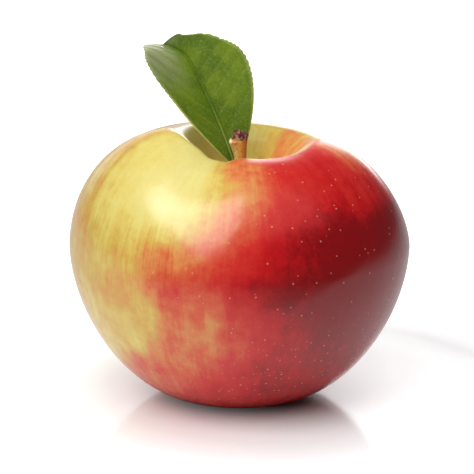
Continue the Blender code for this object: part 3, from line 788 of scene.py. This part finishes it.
# Painted glow of the table by tenths of a metre from the middle: what it lends to the fruit
# as painted bounce light, and what it shows, darkest near the foot as a painted soft shadow
LENT_GLOW = ((0.20, 0.31, 0.41, 0.52, 0.68, 1.0), (0.0, 0.15, 0.30, 0.34, 0.26, 0.12))
SHOWN_GLOW = ((0.12, 0.18, 0.24, 0.31, 0.41, 0.52, 0.68, 1.0),
              (0.0, 0.05, 0.10, 0.14, 0.17, 0.30, 0.50, 0.66))
FLAG_HEIGHT = 0.004
FLAG_CENTRE_X = -0.06
PANEL_HEIGHT = 0.845
PANEL_CORNERS = ((-0.720, -0.064), (0.040, -0.128), (-0.008, -0.560), (-0.840, -1.840))
PANEL_RADIANCE = 5.7
FRUIT_MIDDLE = (0, 0, 0.035)
FILL_PLACE = (0.42, -0.33, 0.90)
FILL_SIZE = (0.85, 0.60)
FILL_RADIANCE = 0.5
TOP_PLACE = (0.12, -0.05, 0.95)
TOP_SIZE = (0.50, 0.50)
TOP_RADIANCE = 1.1
SPOT_PLACE = Vector((0.09, -0.30, 0.60))
SPOT_AIM = Vector((0.005, 0.003, 0.056))
SPOT_WATTS = 9.0
SPOT_WIDTH = math.radians(6.0)
SPOT_SOFTNESS = 0.03
ROOM_GREY = 0.07
BACKDROP_SHOWN = 1.2


def flat_mesh(name, corners, height):
    """One level face with four corners."""
    mesh = bpy.data.meshes.new(name)
    mesh.from_pydata([(*corner, height) for corner in corners], [], [(0, 1, 2, 3)])
    return mesh


def oblong(x_from, x_to, y_from, y_to):
    return (x_from, y_from), (x_to, y_from), (x_to, y_to), (x_from, y_to)


def add_stage(name, mesh, material):
    """Shows a mesh that belongs to the studio and not to the apple."""
    mesh.materials.append(material)
    piece = bpy.data.objects.new(name, mesh)
    bpy.context.scene.collection.objects.link(piece)
    return piece


def grey_ramp(tree, value, places, levels):
    """Greys at their places from 0 to 1, blended between."""
    return colour_ramp(tree, value, [(place, (level, level, level, 1.0))
                                     for place, level in zip(places, levels)])


def table_material():
    """Grey plastic whose glow and mirror change with the distance from the fruit. Its own
    glow is shown and lent to the fruit in two measures. Both are painted light: the shown
    glow paints a soft shadow near the foot, and the lent one paints bounce light on the fruit."""
    material, tree, shader = new_material("white_table")
    here = add_node(tree, "ShaderNodeTexCoord").outputs["Object"]
    away = add_node(tree, "ShaderNodeVectorMath", {"operation": "LENGTH"}, _0=here).outputs[1]
    shadow_place = add_node(tree, "ShaderNodeVectorMath", {"operation": "SUBTRACT"}, _0=here,
                            _1=(SHADOW_SHIFT, 0, 0)).outputs[0]
    shadow_away = add_node(tree, "ShaderNodeVectorMath", {"operation": "LENGTH"},
                           _0=shadow_place).outputs[1]
    # Painted light: the lent glow is bounce light on the fruit, and the shown glow is white with a
    # painted soft shadow near the foot.
    lit = grey_ramp(tree, calculate(tree, "MULTIPLY", away, 10.0), *LENT_GLOW)
    shown = grey_ramp(tree, calculate(tree, "MULTIPLY", shadow_away, 10.0), *SHOWN_GLOW)
    shown = calculate(tree, "ADD", shown, remap(tree, away, 0.10, 0.50, 0.0, 0.45))
    seen = add_node(tree, "ShaderNodeLightPath").outputs["Is Camera Ray"]
    lit = calculate(tree, "MULTIPLY", lit, calculate(tree, "SUBTRACT", 1.0, seen))
    shown = calculate(tree, "MULTIPLY", shown, seen)
    tree.links.new(calculate(tree, "ADD", lit, shown), shader.inputs["Emission Strength"])
    shader.inputs["Emission Color"].default_value = (1, 1, 1, 1)
    mirror = remap(tree, away, 0.024, 0.066, 0.5, 0.0)
    tree.links.new(mirror, shader.inputs["Specular IOR Level"])
    shader.inputs["Roughness"].default_value = 0.10
    shader.inputs["Base Color"].default_value = (TABLE_GREY, TABLE_GREY, TABLE_GREY, 1.0)
    return material


table_corners = oblong(-TABLE_HALF, TABLE_HALF, -TABLE_HALF, TABLE_HALF)
add_stage("table", flat_mesh("table", table_corners, 0.0), table_material())


def flag_material():
    """Black, and clear along its near edge."""
    material, tree, shader = new_material("black_flag")
    here = add_node(tree, "ShaderNodeTexCoord").outputs["Object"]
    here = add_node(tree, "ShaderNodeVectorMath", {"operation": "SUBTRACT"}, _0=here,
                    _1=(FLAG_CENTRE_X, 0, 0)).outputs[0]
    away = add_node(tree, "ShaderNodeVectorMath", {"operation": "LENGTH"}, _0=here).outputs[1]
    nearness = calculate(tree, "DIVIDE", 1.0, away)
    tree.links.new(remap(tree, nearness, 12.5, 4.2), shader.inputs["Alpha"])
    shader.inputs["Base Color"].default_value = (0.01, 0.01, 0.01, 1.0)
    shader.inputs["Roughness"].default_value = 1.0
    shader.inputs["Specular IOR Level"].default_value = 0.0
    return material


flag_mesh = flat_mesh("flag", oblong(-1.4, 1.4, -1.6, -0.07), FLAG_HEIGHT)
flag = add_stage("flag", flag_mesh, flag_material())
flag.visible_camera = False
flag.visible_diffuse = False
flag.visible_shadow = False


def add_soft_box(name, centre, towards, size, radiance):
    """A rectangular light as bright as its radiance, whatever its size."""
    light = bpy.data.lights.new(name, "AREA")
    light.shape = "RECTANGLE"
    light.size, light.size_y = size
    light.energy = radiance * math.pi * size[0] * size[1]
    lamp = bpy.data.objects.new(name, light)
    lamp.location = centre
    lamp.rotation_euler = (Vector(centre) - Vector(towards)).to_track_quat("Z", "Y").to_euler()
    bpy.context.scene.collection.objects.link(lamp)
    lamp.visible_camera = False
    return lamp


def glowing_material(name, radiance):
    """A surface that gives off white light and reflects none."""
    material, tree, shader = new_material(name)
    shader.inputs["Base Color"].default_value = (0, 0, 0, 1)
    shader.inputs["Specular IOR Level"].default_value = 0.0
    shader.inputs["Emission Color"].default_value = (1, 1, 1, 1)
    shader.inputs["Emission Strength"].default_value = radiance
    return material


panel = add_stage("overhead", flat_mesh("overhead", PANEL_CORNERS, PANEL_HEIGHT),
                  glowing_material("overhead", PANEL_RADIANCE))
panel.visible_camera = False
add_soft_box("fill", FILL_PLACE, FRUIT_MIDDLE, FILL_SIZE, FILL_RADIANCE)
top = add_soft_box("top", TOP_PLACE, FRUIT_MIDDLE, TOP_SIZE, TOP_RADIANCE)
top.visible_glossy = False

spot_light = bpy.data.lights.new("spot", "SPOT")
spot_light.energy = SPOT_WATTS
spot_light.spot_size = SPOT_WIDTH
spot_light.spot_blend = 1.0
spot_light.shadow_soft_size = SPOT_SOFTNESS
spot = bpy.data.objects.new("spot", spot_light)
spot.location = SPOT_PLACE
spot.rotation_euler = (SPOT_PLACE - SPOT_AIM).to_track_quat("Z", "Y").to_euler()
spot.visible_camera = False
spot.visible_glossy = False
bpy.context.scene.collection.objects.link(spot)

world = bpy.data.worlds.new("studio")
world.use_nodes = True
bpy.context.scene.world = world
sky = world.node_tree
sky.nodes.clear()
way = add_node(sky, "ShaderNodeSeparateXYZ",
               Vector=add_node(sky, "ShaderNodeTexCoord").outputs["Generated"])
ahead = remap(sky, way.outputs[1], 0.70, 0.88)
low = remap(sky, way.outputs[2], 0.64, 0.44)
rightward = calculate(sky, "MULTIPLY", remap(sky, way.outputs[0], -0.04, 0.14, 1.0, 5.5),
                      remap(sky, way.outputs[0], 0.44, 0.27))
backdrop = calculate(sky, "MULTIPLY", calculate(sky, "MULTIPLY", ahead, low), rightward)
backdrop = calculate(sky, "ADD", backdrop, ROOM_GREY)
seen = add_node(sky, "ShaderNodeLightPath").outputs["Is Camera Ray"]
strength = calculate(sky, "MAXIMUM", backdrop, calculate(sky, "MULTIPLY", seen, BACKDROP_SHOWN))
background = add_node(sky, "ShaderNodeBackground", Strength=strength)
output = add_node(sky, "ShaderNodeOutputWorld")
sky.links.new(background.outputs[0], output.inputs[0])
background.inputs[0].default_value = (1, 1, 1, 1)

camera_data = bpy.data.cameras.new("camera")
camera_data.sensor_width = 36.0
camera_data.lens = 36.0 * VIEW_DISTANCE / VIEW_WIDTH
camera = bpy.data.objects.new("camera", camera_data)
back = Vector((0, -math.cos(VIEW_ELEVATION), math.sin(VIEW_ELEVATION)))
camera.location = VIEW_TARGET + back * VIEW_DISTANCE
camera.rotation_euler = back.to_track_quat("Z", "Y").to_euler()
bpy.context.scene.collection.objects.link(camera)
bpy.context.scene.camera = camera
bpy.context.scene.view_settings.view_transform = "Standard"
